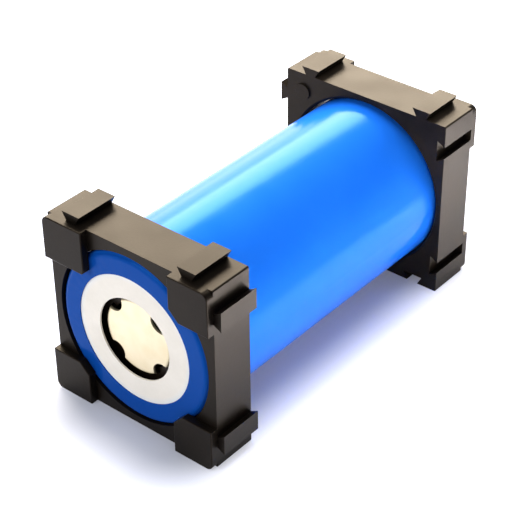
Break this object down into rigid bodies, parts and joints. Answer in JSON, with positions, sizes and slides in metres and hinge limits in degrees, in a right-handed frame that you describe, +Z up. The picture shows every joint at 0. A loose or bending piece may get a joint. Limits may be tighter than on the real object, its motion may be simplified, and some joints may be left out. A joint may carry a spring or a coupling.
{
  "type": "battery cell holder bracket",
  "caption": "Square plastic end brackets holding a round lithium cell, with dovetail rails and grooves that join brackets side by side and corner tabs that keep the cell in.",
  "frame": {"origin": "on the resting surface, midway between the brackets and below the cell's axis", "axes": "+Z up, +Y along the cell from its positive to its negative end, +X to the right as seen from the positive end"},
  "size_m": [0.0384, 0.074, 0.037],
  "materials": {
    "black_abs": "satin",
    "blue_sleeve": "gloss",
    "white_card": "matte",
    "nickel_plate": "satin",
    "black_seal": "matte",
    "bare_aluminium": "satin"
  },
  "bodies": {
    "cell": {"shrink_sleeve": "blue_sleeve", "insulator_ring": "white_card", "positive_cap": "nickel_plate", "cap_gasket": "black_seal", "vent_disc": "bare_aluminium", "cell_can": "nickel_plate"},
    "front_holder": {"front_bracket": "black_abs"},
    "rear_holder": {"rear_bracket": "black_abs"}
  },
  "joints": [
    {"name": "front_bracket_pull", "type": "slide", "parent": "cell", "child": "front_holder", "axis": [0, -1, 0], "range_m": [0, 0.012]},
    {"name": "rear_bracket_pull", "type": "slide", "parent": "cell", "child": "rear_holder", "axis": [0, 1, 0], "range_m": [0, 0.012]}
  ]
}
